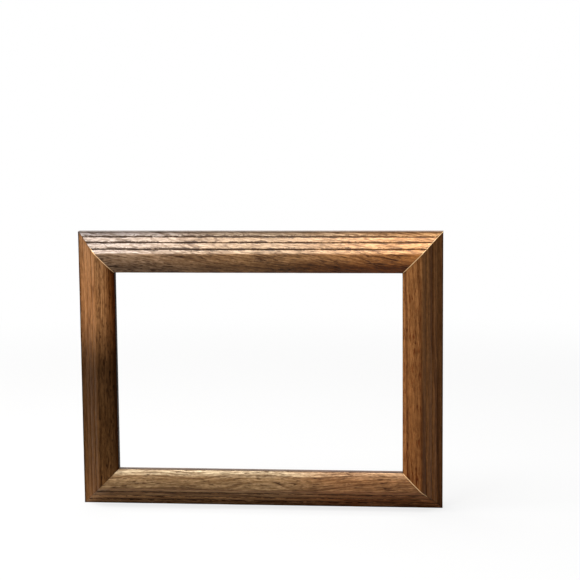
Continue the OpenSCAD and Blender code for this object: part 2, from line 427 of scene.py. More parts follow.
def wander(drawing, length, half_span, seed):
    """Sinks the front of the wood here and there, and more in the grooves than on the reeds."""
    drawing.normal_update()
    moves = []
    for point in drawing.verts:
        depth = -point.co.y / MM
        u = half_span - point.co.z / MM
        over_rebate = u > RAIL_W - LIP_W - REBATE_RIM
        if depth < SIDE_H - SIDE_R or (over_rebate and depth < REBATE_D + REBATE_RIM):
            continue
        clear = mitre_distance(point.co, length, half_span) - TRUE_END
        fade = min(1, max(0, clear) / TRUE_STRETCH)
        groove = groove_share(point.co, half_span)
        at = point.co / MM
        broad = noise.noise(Vector((at.x / BROAD_L + seed, at.y / BROAD_W, at.z / BROAD_W)))
        fine = noise.noise(Vector((at.x / FINE_L, at.y / FINE_W + seed, at.z / FINE_W)))
        sink = WANDER * (0.5 + 0.5 * broad) + GROOVE_WANDER * groove * max(0, broad + fine)
        moves.append((point, -point.normal * sink * fade * MM))
    for point, move in moves:
        point.co += move


# %% [markdown]
# ## Pockets in the back of the rails
# The corner pins sit in V-shaped pockets, and the screws and nails in bored holes. The cutter for
# a pocket is a copy of the pin itself, drawn out through the back, so the two always fit.

# %% Make the cutters
PILOT_PLAY = 0.05
PIN_OUT = 1.0
SHANK_R = 1.2
NAIL_R = 0.65
BORE_STEPS = 24


def middle_of(node):
    low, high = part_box(node)
    return (low + high) / 2


def copied_cutter(drawing, node):
    """Adds a copy of a pin to a drawing, with its outer end pulled out through the back."""
    copy = bmesh.new()
    copy.from_mesh(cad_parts[node].data)
    bmesh.ops.remove_doubles(copy, verts=copy.verts, dist=MM / 1000)
    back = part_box(node)[1].y
    for point in copy.verts:
        if point.co.y > back - MM / 100:
            point.co.y = PIN_OUT * MM
    copied = bpy.data.meshes.new("cutter")
    copy.to_mesh(copied)
    copy.free()
    drawing.from_mesh(copied)
    bpy.data.meshes.remove(copied)


def bored_cutter(drawing, node, radius):
    """Adds a drill's shape where a screw or nail goes in."""
    middle = middle_of(node)
    deep = PIN_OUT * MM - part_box(node)[0].y
    place = Matrix.Translation((middle.x, (PIN_OUT * MM - deep) / 2, middle.z))
    bmesh.ops.create_cone(
        drawing, cap_ends=True, segments=BORE_STEPS, radius1=radius * MM, radius2=radius * MM,
        depth=deep + PIN_OUT * MM, matrix=place @ Matrix.Rotation(math.radians(90), 4, "X"),
    )


def pockets_near(rail):
    """One cutter for every pocket and hole that touches a rail."""
    drawing = bmesh.new()
    low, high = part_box(rail)
    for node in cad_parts:
        middle = middle_of(node)
        if not all(low[i] - MM < middle[i] < high[i] + MM for i in (0, 2)):
            continue
        if node.startswith("corner_pin"):
            copied_cutter(drawing, node)
        if node.startswith("button_screw"):
            bored_cutter(drawing, node, SHANK_R + PILOT_PLAY)
        if node.startswith("hanger_nail"):
            bored_cutter(drawing, node, NAIL_R + PILOT_PLAY)
    return mesh_object("pockets", drawing)


# %% [markdown]
# ## Stained oak
# Oak shows short dark pores, fine fibres between them, and a stain that gathers in every hollow.
# A picture of wood would be quicker, but it would smear over the section. So the grain is solid:
# it is worked out in the piece's own space, stretched along the rail, and cut by the shape as a
# real plank is. That takes many steps of arithmetic. To keep them short to read, what a node gives
# out is wrapped in a class here, and `a + b` then adds the node that adds the two.

# %% Nodes that read like arithmetic
def fill(node, values):
    """Sets a node's sockets, or links them to what other nodes give out."""
    for socket, value in values.items():
        if isinstance(value, Signal):
            node.id_data.links.new(value.socket, node.inputs[socket])
        else:
            node.inputs[socket].default_value = value


def add_node(kind, values, tree=None, **settings):
    """Adds a node to a tree, or else to the tree that its values come from."""
    if tree is None:
        tree = next(v.socket.id_data for v in values.values() if isinstance(v, Signal))
    node = tree.nodes.new(kind)
    for name, value in settings.items():
        setattr(node, name, value)
    fill(node, values)
    return node


def operation(way):
    """A method that adds the node for one step of arithmetic."""

    def method(self, other=0.0):
        return self.worked_out(way, self, other)

    return method


class Signal:
    """What a node gives out: a number or a colour."""

    maths = "ShaderNodeMath"

    def __init__(self, socket):
        self.socket = socket

    def worked_out(self, way, a, b):
        return type(self)(add_node(self.maths, {0: a, 1: b}, operation=way).outputs[0])

    def __rsub__(self, other):
        return self.worked_out("SUBTRACT", other, self)

    __add__ = operation("ADD")
    __sub__ = operation("SUBTRACT")
    __mul__ = operation("MULTIPLY")
    __truediv__ = operation("DIVIDE")
    __lt__ = operation("LESS_THAN")
    __gt__ = operation("GREATER_THAN")
    __abs__ = operation("ABSOLUTE")
    smaller = operation("MINIMUM")
    larger = operation("MAXIMUM")


class Place(Signal):
    """A place in space, with the same arithmetic."""

    maths = "ShaderNodeVectorMath"

    def distance(self, other=(0, 0, 0)):
        far = add_node(self.maths, {0: self, 1: other}, operation="DISTANCE")
        return Signal(far.outputs["Value"])

    def part(self, axis):
        return Signal(add_node("ShaderNodeSeparateXYZ", {"Vector": self}).outputs[axis])

    def turned(self, angle, scale=1.0):
        """The place scaled and turned about Y."""
        values = {"Vector": self, "Rotation": (0, angle, 0), "Scale": (scale, scale, scale)}
        return Place(add_node("ShaderNodeMapping", values).outputs[0])


# %% [markdown]
# More helpers make an empty finish, a noise with grains of a wanted size, a soft step from one
# value to another, a mix of two colours, a darker colour and a bump. Colours are darkened by a
# factor for red, green and blue, and a factor above 1 makes them lighter.

# %% Noises, steps and colours
def new_finish(name):
    """An empty material, its shader, and the place of a point on the piece."""
    material = bpy.data.materials.new(name)
    material.use_nodes = True
    tree = material.node_tree
    spot = add_node("ShaderNodeTexCoord", {}, tree)
    return material, tree.nodes["Principled BSDF"], Place(spot.outputs["Object"])


def stretched_noise(place, stretch, detail, rough=0.5, out="Fac"):
    """A noise whose grains have the size 1 / stretch along each axis, in mm."""
    values = {"Vector": place * stretch, "Scale": 1.0, "Detail": detail, "Roughness": rough}
    return Signal(add_node("ShaderNodeTexNoise", values).outputs[out])


def step_up(value, low, high, to_low=0.0, to_high=1.0):
    """Goes smoothly from to_low to to_high as a value goes from low to high."""
    limits = {"From Min": low, "From Max": high, "To Min": to_low, "To Max": to_high}
    node = add_node(
        "ShaderNodeMapRange", {"Value": value, **limits}, interpolation_type="SMOOTHSTEP"
    )
    return Signal(node.outputs["Result"])


def blend(share, a, b, way="MIX"):
    """Mixes two colours, or multiplies the first by the second."""
    values = {0: share, 6: a, 7: b}
    return Signal(add_node("ShaderNodeMix", values, data_type="RGBA", blend_type=way).outputs[2])


def darken(colour, share, factor):
    return blend(share, colour, factor, "MULTIPLY")


def bump(height, strength, depth):
    """The normal of a surface raised by a height, with the depth in mm."""
    values = {"Strength": strength, "Distance": depth * MM, "Height": height}
    return Signal(add_node("ShaderNodeBump", values).outputs["Normal"])


# %% [markdown]
# ## Where a point lies on the moulding
# Stain gathers in the grooves and wear shows on the mitres, so the finish has to know where it is
# on the moulding. Marks on the points of the mesh would do, but they smear where faces are long.
# Here the shader works the distances out: `u` in from the outer side, `v` above the back, the way
# to the nearest groove, and the way to the nearer mitre. To use one rule for all four rails, each
# is first turned back to the pose of the top rail.

# %% Place on the moulding
class MouldingPlace:
    """A point's place in the top rail's pose, in mm, and its distances on the moulding."""

    def __init__(self, own, turn, length, half_span):
        self.laid = own.turned(-turn, 1 / MM)
        self.x = self.laid.part("X")
        self.u = half_span - self.laid.part("Z")
        self.v = self.laid.part("Y") * -1
        self.on_reeds = step_up(self.u, CREST.x + 0.8, CREST.x + 0.2)
        section = self.laid * (0, 1, 1)
        ways = [section.distance((0, -g.y, half_span - g.x)) for g in MID_GROOVES]
        self.groove = ways[0].smaller(ways[1]).smaller(ways[2])
        self.mitre = (length / 2 - abs(self.x) - self.u) / math.sqrt(2)


# %% [markdown]
# ## The tones
# The stain is brown oak, but it took differently on each board: grey to gold on the top rail, amber
# on the left stile. The left stile's lower half is painted much darker, as painted shade. The other
# colours are factors that darken or lighten what is there.
# All were set against the photograph, one part of the frame after the other.

# %% Tones
GREY_OAK = (0.215, 0.138, 0.084, 1)
BROWN_OAK = (0.215, 0.114, 0.048, 1)
GOLD_OAK = (0.350, 0.137, 0.036, 1)
OLIVE_OAK = (0.252, 0.153, 0.071, 1)
RED_OAK = (0.240, 0.112, 0.044, 1)
ORANGE_OAK = (0.240, 0.102, 0.033, 1)
RUST_OAK = (0.205, 0.079, 0.023, 1)
BUFF_OAK = (0.236, 0.116, 0.048, 1)
AMBER_OAK = (0.268, 0.122, 0.045, 1)
# The next three tones paint shade on the left stile, darkest over its lower half.
DARK_SHADE_OAK = (0.052, 0.023, 0.008, 1)
SEPIA_SHADE_OAK = (0.070, 0.031, 0.010, 1)
UMBER_SHADE_OAK = (0.122, 0.054, 0.018, 1)
THIN_STAIN = (0.40, 0.27, 0.15, 1)
BARE_OAK = (0.78, 0.50, 0.25, 1)


def stain_along(place, length, tones):
    """The board's tone, which drifts from one end to the other, and on the left stile also paints
    shade.
    """
    ramp = add_node("ShaderNodeValToRGB", {"Fac": place.x / length + 0.5})
    ramp.color_ramp.interpolation = "EASE"
    ramp.color_ramp.elements[0].color = tones[0]
    ramp.color_ramp.elements[1].color = tones[-1]
    for i, tone in enumerate(tones[1:-1], 1):
        ramp.color_ramp.elements.new(i / (len(tones) - 1)).color = tone
    return Signal(ramp.outputs["Color"])


# %% [markdown]
# ## The grain
# A tree's growth rings would draw the grain if they were seen whole, but a narrow board shows only
# a few of them. So the rings give thin lines, and five noises do the rest. All are stretched along
# the rail: fibres most, then pores, flecks, and the mottle where stain soaked in unevenly. The
# whole grain is set a little askew and pushed from side to side, as it is in wood. Each stretch
# below says how many grains of a noise there are to a millimetre, along the rail and across it.
# Each edge is the value of the noise where a mark begins, and the one where it is whole.

# %% Grain
SEED_STEP = 371.0
SWAY_STRETCH = (0.022, 0.06, 0.06)
PATCH_STRETCH = (0.055, 0.14, 0.14)
MOTTLE_STRETCH = (0.32, 0.75, 0.75)
FIBRE_STRETCH = (0.050, 1.1, 1.1)
FLECK_STRETCH = (0.12, 1.05, 1.05)
PORE_STRETCH = (0.25, 2.8, 2.8)
PATCH_EDGE = (0.44, 0.60)
MOTTLE_EDGE = (0.42, 0.58)
RINGS_PER_MM = 0.42
RING_EDGE = (0.035, 0.008)


def ring_lines(askew, heart):
    """Thin lines where growth rings lie, at all distances from the tree's heart."""
    radius = ((askew - heart) * (0, 1, 1)).distance()
    values = {"W": radius * RINGS_PER_MM, "Scale": 1.0, "Detail": 1.0}
    wave = add_node("ShaderNodeTexNoise", values, noise_dimensions="1D").outputs["Fac"]
    return step_up(abs(Signal(wave) - 0.5), *RING_EDGE)


class Grain:
    """The marks of one board, each from 0 to 1."""

    def __init__(self, place, board):
        self.seeded = place.laid + (board["seed"] * SEED_STEP, 0, 0)
        sway = Place(stretched_noise(self.seeded, SWAY_STRETCH, 1.0, out="Color").socket)
        pushed = (sway - (0.5, 0.5, 0.5)) * (0.0, board["sway"], board["sway"])
        slant = math.radians(board["slant"])
        askew = self.seeded.turned(slant) + pushed
        self.ring_line = ring_lines(askew, board["heart"])
        self.patch = step_up(stretched_noise(askew, PATCH_STRETCH, 1.0), *PATCH_EDGE)
        crossed = askew.turned(slant)
        self.mottle = step_up(stretched_noise(crossed, MOTTLE_STRETCH, 2.0, 0.6), *MOTTLE_EDGE)
        self.fibres = stretched_noise(askew, FIBRE_STRETCH, 3.0, 0.75)
        self.flecks = stretched_noise(askew, FLECK_STRETCH, 1.5)
        self.pores = stretched_noise(askew, PORE_STRETCH, 1.0)


# %% [markdown]
# The marks are then turned into colour. Pores and flecks crowd in some patches, and the reeds show
# fewer of them, because the cutter and the sandpaper closed them there. The result is a factor for
# the board's tone, so the same grain can lie on any stain.

# %% Colour of the grain
PALE_FIBRE = (1.32, 1.36, 1.42, 1)
DARK_FIBRE = (0.62, 0.55, 0.49, 1)
PALE_MOTTLE = (1.32, 1.34, 1.36, 1)
DARK_MOTTLE = (0.66, 0.62, 0.58, 1)
RING_LINE = (0.52, 0.44, 0.38, 1)
DARK_PORE = (0.34, 0.27, 0.22, 1)
RED_PORE = (0.62, 0.40, 0.26, 1)
UNCHANGED = (1, 1, 1, 1)
FIBRE_EDGE = (0.36, 0.64)
FLECK_EDGE = (0.64, 0.69)
PORE_EDGE = (0.62, 0.67)
RAGGED = 0.4
RING_CROWD = 0.02
REED_MOTTLE = 0.3
RING_SHARE = 0.75
PORE_SHARE = 0.75
FLECK_SHARE = 0.85


def open_marks(place, grain, board):
    """How much of a fleck and of a pore shows at a place."""
    crowd = grain.ring_line * RING_CROWD + grain.patch * board["crowd"]
    ragged = grain.flecks + (grain.pores - 0.5) * RAGGED
    shown = step_up(place.on_reeds, 0.0, 1.0, 1.0, board["reed_marks"])
    fleck = step_up(ragged + crowd, *FLECK_EDGE) * shown
    pore = step_up(grain.pores + crowd, *PORE_EDGE) * shown
    return fleck, pore


def grain_colour(place, grain, board, fleck, pore):
    """The factor by which the grain darkens or lightens the stain."""
    fibre = blend(step_up(grain.fibres, *FIBRE_EDGE), DARK_FIBRE, PALE_FIBRE)
    factor = blend(board["fibres"], UNCHANGED, fibre)
    mottled = blend(grain.mottle, DARK_MOTTLE, PALE_MOTTLE)
    on_flat = 1.0 - place.on_reeds
    share = on_flat * board["mottle"] + place.on_reeds * REED_MOTTLE
    factor = darken(factor, share, mottled)
    factor = darken(factor, grain.ring_line * RING_SHARE, RING_LINE)
    factor = darken(factor, grain.patch * on_flat * board["cloud"], RING_LINE)
    factor = darken(factor, pore * PORE_SHARE, board["pore"])
    return darken(factor, fleck * FLECK_SHARE, board["pore"])


# %% [markdown]
# ## Painted highlight where the wood faces up
# The wood that faces up is painted paler than the rest: a painted highlight, where the light from
# above falls most. It lies on the reeds of the top rail and on the rounding of the bottom one. The
# face's normal tells which way the wood looks. The flat and the side of the lip are left as they
# are.

# %% Painted highlight
HIGHLIGHT_SPAN = 0.35


# This paints a highlight: it makes the wood that faces up paler.
def fade(place, colour, board):
    """The colour made paler where the wood faces up: a painted highlight."""
    facing = add_node("ShaderNodeNewGeometry", {}, colour.socket.id_data).outputs["Normal"]
    outer = step_up(place.u, CREST.x + 0.4, CREST.x - 0.4)
    inner = step_up(place.u, FLAT_END.x, FLAT_END.x + 1)
    up = Place(facing).part("Z")
    highlight_share = step_up(up, board["highlight_from"], board["highlight_from"] + HIGHLIGHT_SPAN)
    on_front = step_up(place.u, RAIL_W - 0.05, RAIL_W - 0.35)
    return darken(colour, highlight_share * outer.larger(inner) * on_front, board["painted_highlight"])


# %% [markdown]
# ## Where the stain gathers, and painted shade
# Stain is wiped on and off again, and stays where the cloth doesn't reach: in the grooves, on the
# outer side and beside the mitres. The wood beside the sight edge is painted darker as shade, and so
# are the grooves, on top of their stain. The grooves' dark lines are not clean, as the cutter tore
# the oak here and there, so a noise makes their edges ragged.

# %% Gathered stain
STAIN_FILM = (0.20, 0.15, 0.12, 1)
# The colour of the painted shade beside the sight edge.
SIGHT_SHADE = (0.44, 0.28, 0.12, 1)
SIDE_STAIN = (0.24, 0.22, 0.22, 1)
TEAR_STRETCH = (0.28, 0.7, 0.7)
TORN_STRETCH = (0.06, 0.22, 0.22)
TORN_EDGE = (0.42, 0.56)
TEAR_DEPTH = 4.8
LINE_EDGE = (0.80, 0.58)
LEFT_PART = -60
RIGHT_PART = 60
FAR_RIGHT = 90


def sight_shade(place, colour, board):
    """Painted shade that grows towards the sight edge, and a line of it on the edge itself."""
    most = step_up(place.x, LEFT_PART, RIGHT_PART, *board["sight"])
    start = board["sight_from"]
    colour = darken(colour, step_up(place.u, start, start + 6) * most, SIGHT_SHADE)
    line = step_up(place.u, RAIL_W - 2.0, RAIL_W - 0.7, 0.0, board["edge"])
    return darken(colour, line, SIGHT_SHADE)


def groove_stain_and_shade(place, grain, colour, board):
    """The dark and ragged lines of the grooves: stain that gathers there, and painted shade."""
    tears = stretched_noise(grain.seeded, TEAR_STRETCH, 3.0, 0.75)
    parts = stretched_noise(grain.seeded, TORN_STRETCH, 1.0)
    torn = step_up(parts, *TORN_EDGE, 0.0, board["torn"])
    line = step_up(place.groove - (tears - 0.5) * TEAR_DEPTH - torn, *LINE_EDGE)
    most = step_up(place.x, LEFT_PART, FAR_RIGHT, *board["groove"])
    return darken(colour, line * most, STAIN_FILM)


def side_stain(place, grain, colour, board):
    """Stain on the outer side, on the side of the lip and beside the mitres."""
    colour = darken(colour, step_up(place.u, 0.9, 0.5, 0.0, board["side"]), SIDE_STAIN)
    lip_side = step_up(place.u, RAIL_W - 0.4, RAIL_W - 0.1) * (place.v < SIGHT_EDGE.y + 0.2)
    colour = darken(colour, lip_side * 0.9, STAIN_FILM)
    most = step_up(place.x, -1, 1, *board["beside"])
    beside = step_up(place.mitre - grain.flecks * 0.8, 0.25, -0.15) * most
    return darken(colour, beside, STAIN_FILM)


# %% [markdown]
# ## The back, and edges worn bare
# The back was never varnished: it got one thin coat of stain, and so did the rebate. Where two
# rails meet, the sharp front edge of one of them is worn to bare oak, which shows as a pale line
# along the mitre. It is only a quarter of a millimetre wide, but the eye finds it at once.

# %% Back and bare edges
BARE_W = 0.28
BARE_SHARE = 0.92


def unvarnished(place):
    """1 on the back of the rail and in its rebate."""
    on_back = place.v < 0.2
    in_rebate = (place.u > RAIL_W - LIP_W - 0.2) * (place.v < REBATE_D + 0.2)
    return on_back.larger(in_rebate)


def bare_line(place, end, u_from, u_to):
    """1 on the worn front edge of one mitre, between two distances from the outer side."""
    here = (place.x * end > 0.0) * (place.v > SIDE_H - 1)
    thin = step_up(place.mitre, BARE_W, BARE_W / 2)
    along = step_up(place.u, u_from - 1, u_from) * step_up(place.u, u_to, u_to - 1)
    return here * thin * along


# %% [markdown]
# ## All of it together
# The steps above follow each other as a joiner's would: wood, a painted highlight, stain and painted
# shade, wear. Last comes the varnish. It is a satin one that lies a little rougher over open pores,
# and the pores and fibres are felt through it, which the bump does. Its mirror of the room is weak
# and warm, because a thin brown film lies on all of it.

# %% The oak finish
VARNISH_TINT = (1.0, 0.84, 0.66, 1)
GRAIN_DEPTH = 0.14
BUMP_STRENGTH = 0.8
VARNISH_ROUGHNESS = (0.40, 0.30)
BARE_ROUGHNESS = 0.3


def oak_finish(name, board, length, half_span):
    """Stained and varnished oak for one rail."""
    material, shader, own = new_finish(name)
    place = MouldingPlace(own, math.radians(board["turn"]), length, half_span)
    grain = Grain(place, board)
    fleck, pore = open_marks(place, grain, board)
    factor = grain_colour(place, grain, board, fleck, pore)
    # The next line paints a highlight on the wood that faces up.
    colour = fade(place, stain_along(place, length, board["tones"]), board)
    colour = darken(colour, 1.0, factor)
    # The next line paints shade beside the sight edge.
    colour = sight_shade(place, colour, board)
    # The next line darkens the grooves with stain and with painted shade.
    colour = groove_stain_and_shade(place, grain, colour, board)
    colour = side_stain(place, grain, colour, board)
    # The band and reed factors paint light and shade: paler where light falls, darker where it
    # doesn't.
    band = step_up(place.u, board["band_to"] + 0.4, board["band_to"] - 0.4)
    colour = darken(colour, band * step_up(place.u, 0.1, 0.5), board["band"])
    colour = darken(colour, place.on_reeds, board["reeds"])
    behind = unvarnished(place)
    colour = blend(behind, colour, darken(THIN_STAIN, 1.0, factor))
    for end, (u_from, u_to) in zip((-1, 1), board["bare"]):
        if u_to > u_from:
            worn = bare_line(place, end, u_from, u_to) * BARE_SHARE
            colour = blend(worn, colour, BARE_OAK)
    varnish = step_up(grain.fibres, 0.3, 0.7, *VARNISH_ROUGHNESS)
    height = fleck * -1.0 + pore * -0.6 + grain.fibres
    fill(shader, {
        "Base Color": colour,
        "Roughness": varnish + fleck * BARE_ROUGHNESS + behind * BARE_ROUGHNESS,
        "Normal": bump(height, BUMP_STRENGTH, GRAIN_DEPTH),
        "Specular IOR Level": board["gloss"],
        "Specular Tint": VARNISH_TINT,
    })
    print(name, "has", len(material.node_tree.nodes), "nodes")
    return material


# %% [markdown]
# ## The four boards
# Every rail is sawn from a board of its own, so each has its own values. Pairs are for the rail's
# two ends, left and right in the top rail's pose. What most boards share is said once, in the plain
# board, and each board says only what it has of its own.
#
# - `turn`: how far the rail is turned from the top rail's pose, in degrees; `seed`: its own grain
# - `tones`: the stain from end to end, with painted shade on the left stile; `gloss`: how much the
#   varnish mirrors
# - `slant`, `sway`, `heart`: how askew the grain is, how far it waves, where the heart was
# - `fibres`, `pore`, `crowd`: how plain the fibres are, the pores' colour, and how they crowd
# - `reed_marks`: the share of pores left open on the reeds
# - `mottle`, `cloud`: how blotchy and how clouded the stain is
# - `groove`, `torn`: how dark the grooves are, and how torn
# - `highlight_from`, `painted_highlight`: how far up the wood must face to get the painted
#   highlight, and its factor
# - `sight`, `sight_from`, `edge`: painted shade beside the sight edge, where it starts, and on the
#   edge
# - `band`, `band_to`, `reeds`: painted light and shade on the outermost band, its width, and painted
#   light and shade on all reeds
# - `beside`, `side`: stain beside the mitres and on the outer side
# - `bare`: from where to where a mitre's front edge is worn bare, for each end

# %% The plain board, and the top and bottom rails
WHOLE = (0.0, RAIL_W)
INNER_PART = (9.5, RAIL_W)
NOT_BARE = (0.0, 0.0)
PLAIN_BOARD = dict(
    fibres=1.0, pore=DARK_PORE, highlight_from=0.2, painted_highlight=(1.38, 1.70, 2.2, 1),
    sight=(0.0, 0.0), sight_from=16.0, edge=0.0, cloud=0.0, groove=(0.0, 0.0), torn=0.0,
    band=UNCHANGED, band_to=3.1, side=0.8,
)
BOARDS = {}
BOARDS["top_rail"] = dict(
    PLAIN_BOARD, turn=0, seed=1, tones=(GREY_OAK, BROWN_OAK, GOLD_OAK), gloss=0.2,
    slant=-8, sway=4, heart=(0, 30, 20), crowd=0.07, reed_marks=0.7,
    mottle=0.5, cloud=0.2, groove=(1.0, 0.78), torn=0.55, highlight_from=-0.05,
    sight=(0.15, 1.0), sight_from=14.3,
    band=(1.06, 1.17, 1.32, 1), reeds=(0.92, 0.94, 1.02, 1),
    beside=(0.05, 0.6), side=1.0, bare=(INNER_PART, WHOLE),
)
BOARDS["bottom_rail"] = dict(
    PLAIN_BOARD, turn=180, seed=3, gloss=0.16,
    tones=(RED_OAK, RED_OAK, OLIVE_OAK, OLIVE_OAK, OLIVE_OAK),
    slant=2, sway=4.5, heart=(0, 38, 10), crowd=0.03, reed_marks=0.4,
    mottle=0.45, cloud=0.15, groove=(0.8, 0.8), torn=0.1, highlight_from=0.25,
    painted_highlight=(1.9, 2.45, 3.3, 1), edge=0.1, band=(1.5, 1.42, 1.38, 1),
    band_to=6.1, reeds=(1.12, 1.02, 1.0, 1),
    beside=(0.5, 0.1), bare=(INNER_PART, NOT_BARE),
)

# %% [markdown]
# The stiles hardly mirror the lamps. The left one is painted darkest of the four in its lower half,
# as painted shade, and the right one shows open pores with orange edges.

# %% Right stile and left stile
BOARDS["right_stile"] = dict(
    PLAIN_BOARD, turn=90, seed=2, tones=(ORANGE_OAK, RUST_OAK), gloss=0.06,
    slant=1, sway=2, heart=(0, 45, -60), crowd=0.07, reed_marks=0.2,
    fibres=0.65, pore=RED_PORE, mottle=0.3, groove=(0.05, 0.05), torn=0.15,
    band=(0.56, 0.53, 0.51, 1), reeds=(0.9, 0.92, 0.94, 1),
    beside=(0.7, 0.5), bare=(WHOLE, INNER_PART),
)
BOARDS["left_stile"] = dict(
    PLAIN_BOARD, turn=-90, seed=4, gloss=0.02,
    # the darker tones paint shade over the lower half of the stile
    tones=(UMBER_SHADE_OAK, SEPIA_SHADE_OAK, DARK_SHADE_OAK, AMBER_OAK, BUFF_OAK),
    slant=-1, sway=2, heart=(0, 50, 40), crowd=0.02, reed_marks=0.3,
    fibres=0.75, mottle=0.35, cloud=0.1, sight=(0.0, 1.0), edge=0.9,
    reeds=(1.06, 1.06, 1.1, 1), beside=(0.1, 0.7), bare=(NOT_BARE, INNER_PART),
)
for name, board in BOARDS.items():
    print(name, "is turned by", board["turn"], "degrees and has", len(board["tones"]), "tones")

# %% [markdown]
# ## Make the four rails
# Each rail is drawn in the top rail's pose, roughened, turned to its place about the middle of the
# frame, cut for its pins, screws and nails, and finished.

# %% Make the rails
SEED_TO_WANDER = 7.3

for name, board in BOARDS.items():
    upright = name.endswith("stile")
    length = FRAME_H if upright else FRAME_W
    half_span = FRAME_W / 2 if upright else FRAME_H / 2
    drawing = draw_rail(length, half_span)
    wander(drawing, length, half_span, board["seed"] * SEED_TO_WANDER)
    turn_about_y(drawing, board["turn"])
    rail = mesh_object(name + "_oak", drawing)
    cut_away(rail, pockets_near(name))
    oak = oak_finish(name + "_finish", board, length, half_span)
    finish_piece(rail, name, "frame", oak)

# %% [markdown]
# ## Metal finishes
# The buttons, screws and pins are plated steel, and the hanger is brassed. Plating is never even:
# it clouds, takes fine scratches from handling, and dulls where it was touched. One function makes
# all of them from three noises: clouds, scratches that run one way, and small dull spots.

# %% Make the metal finishes
CLOUD_STRETCH = (0.35, 0.35, 0.35)
SPOT_STRETCH = (1.7, 1.7, 1.7)
SCRATCH_STRETCH = (0.3, 9.0, 9.0)
SCRATCH_ANGLE = math.radians(35)
WORN_EDGE = (0.62, 0.95)
SCORED_EDGE = (0.58, 0.72)
SCORED_ROUGHNESS = 0.12
SCRATCH_STRENGTH = 0.35
SCRATCH_DEPTH = 0.04


def metal_finish(name, clean, dull, smooth, rough):
    """Plated metal between a clean and a dull colour, and between two roughnesses."""
    material, shader, own = new_finish(name)
    laid = own.turned(0, 1 / MM)
    clouds = stretched_noise(laid, CLOUD_STRETCH, 3.0, 0.6)
    spots = stretched_noise(laid, SPOT_STRETCH, 2.0, 0.6)
    scratches = stretched_noise(laid.turned(SCRATCH_ANGLE), SCRATCH_STRETCH, 2.0, 0.7)
    worn = step_up(clouds + spots * 0.5, *WORN_EDGE)
    scored = step_up(scratches, *SCORED_EDGE)
    height = scored * -0.6 + spots * 0.5
    fill(shader, {
        "Base Color": blend(worn, clean, dull),
        "Roughness": step_up(worn, 0.0, 1.0, smooth, rough) + scored * SCORED_ROUGHNESS,
        "Normal": bump(height, SCRATCH_STRENGTH, SCRATCH_DEPTH),
        "Metallic": 1.0,
    })
    return material


METAL_LOOKS = {
    "button_steel": ((0.60, 0.60, 0.58, 1), (0.36, 0.34, 0.31, 1), 0.24, 0.46),
    "screw_steel": ((0.62, 0.61, 0.58, 1), (0.32, 0.30, 0.27, 1), 0.22, 0.44),
    "pin_steel": ((0.42, 0.42, 0.42, 1), (0.20, 0.17, 0.14, 1), 0.34, 0.58),
    "hanger_brass": ((0.72, 0.52, 0.22, 1), (0.42, 0.28, 0.12, 1), 0.24, 0.44),
}
METALS = {name: metal_finish(name, *looks) for name, looks in METAL_LOOKS.items()}
print("the metals are", ", ".join(METALS))

# %% [markdown]
# ## Turn buttons
# Six stamped plates turn on their screws to hold the picture in its rebate. Each is round at the
# screw, tapers to a round tip, and has a dimple pressed into the tip. A stamping is a sheet, so it
# is drawn as one: the outline's arcs are spun from single points, the dimple is an arc spun round,
# triangles fill the rest, and the sheet gets its thickness and its rolled edges last.

# %% Steps that stampings and turned parts share
STEEP = math.radians(60)
TO_THE_BACK = Matrix.Rotation(math.radians(90), 4, "X")


def add_hole(drawing, radius, segments, place=(0, 0, 0)):
    """Adds the circle of a hole, with the radius in mm."""
    bmesh.ops.create_circle(
        drawing, cap_ends=False, segments=segments, radius=radius * MM,
        matrix=Matrix.Translation(place) @ TO_THE_BACK,
    )


def lathe(drawing, centre, steps):
    """Spins a drawing's profile right round an axis along Y."""
    bmesh.ops.spin(
        drawing, geom=drawing.verts[:] + drawing.edges[:], cent=centre, axis=(0, 1, 0),
        angle=math.radians(360), steps=steps, use_merge=True,
    )
    bmesh.ops.remove_doubles(drawing, verts=drawing.verts, dist=MM / 1000)


def thicken(drawing, thickness, edge_r):
    """Gives a sheet its thickness along Y, and rolls its sharp edges."""
    grown = bmesh.ops.extrude_face_region(drawing, geom=drawing.faces[:])
    bmesh.ops.translate(drawing, verts=points_of(grown), vec=(0, thickness * MM, 0))
    bmesh.ops.recalc_face_normals(drawing, faces=drawing.faces)
    sharp = [e for e in drawing.edges if e.is_manifold and e.calc_face_angle() > STEEP]
    ease(drawing, sharp, edge_r)


# %% [markdown]
# The dimple comes first, as a shallow cap spun round the tip. Then the outline: the heel's arc, a
# straight side, and the tip's arc, each touching the next. The triangles fill what lies between
# the outline, the hole's circle and the dimple's foot. The steps say how finely an arc is drawn.

# %% Draw a button
BUTTON_T = 1.0
BUTTON_R = 4.8
TIP_R = 3.4
BUTTON_REACH = 9.6
BUTTON_HOLE_R = 1.28
PIP_R = 1.7
PIP_H = 0.5
PIP_EASE = 0.25
BUTTON_EDGE_R = 0.18
RISE_STEPS = 6
ROUND_STEPS = 28
HEEL_STEPS = 32
TIP_STEPS = 22


def add_dimple(drawing, tip):
    """Adds the cap of a ball round the tip, and gives the edges of its foot."""
    pip_ball = cap_radius(PIP_R, PIP_H)
    rim = drawing.verts.new(tip + Vector((PIP_R * MM, 0, 0)))
    ball_centre = tip + Vector((0, (PIP_H - pip_ball) * MM, 0))
    arc_from(drawing, rim, ball_centre, (0, 0, 1), math.asin(PIP_R / pip_ball), RISE_STEPS)
    lathe(drawing, tip, ROUND_STEPS)
    return [e for e in drawing.edges if e.is_boundary]


